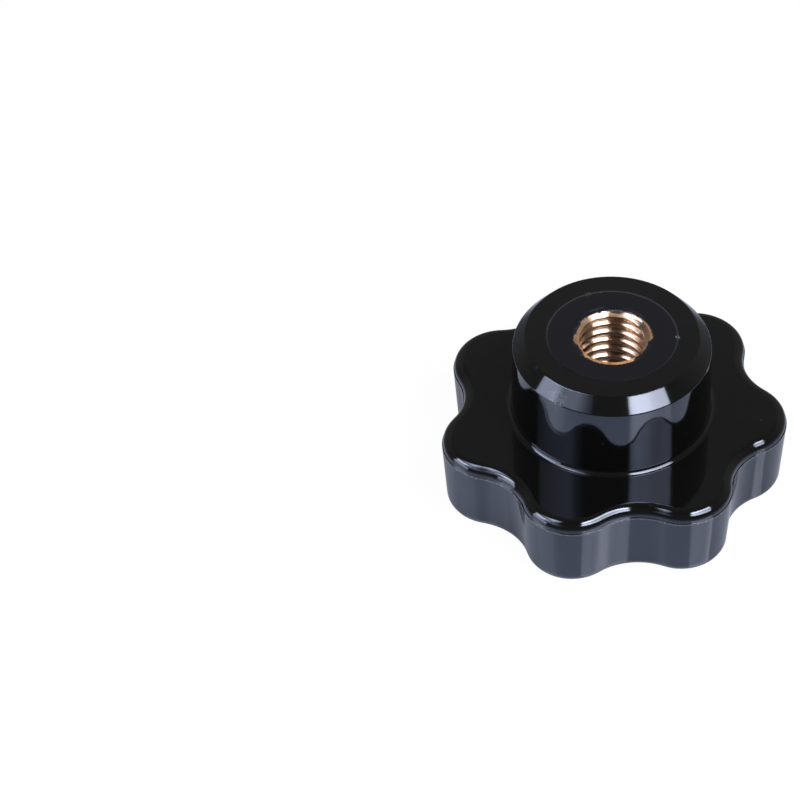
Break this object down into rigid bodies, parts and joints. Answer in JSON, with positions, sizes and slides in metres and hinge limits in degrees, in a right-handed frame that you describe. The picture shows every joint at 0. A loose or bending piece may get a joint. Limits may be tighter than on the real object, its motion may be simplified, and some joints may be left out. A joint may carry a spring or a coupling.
{
  "type": "star knob",
  "caption": "Seven-lobed star knob with a raised hub, a moulded-in brass insert with a through thread, and a recess in its grip face.",
  "frame": {"origin": "centre of the grip face, on the knob's axis", "axes": "+Z along the axis from the grip face to the hub, +X through the tip of a lobe"},
  "size_m": [0.054, 0.055, 0.0287],
  "materials": {
    "knob_body": "gloss black phenolic moulding",
    "threaded_insert": "turned and knurled brass, bright in the thread and dull on the end face"
  },
  "bodies": {
    "root": {"knob_body": "knob_body", "threaded_insert": "threaded_insert"}
  },
  "joints": []
}
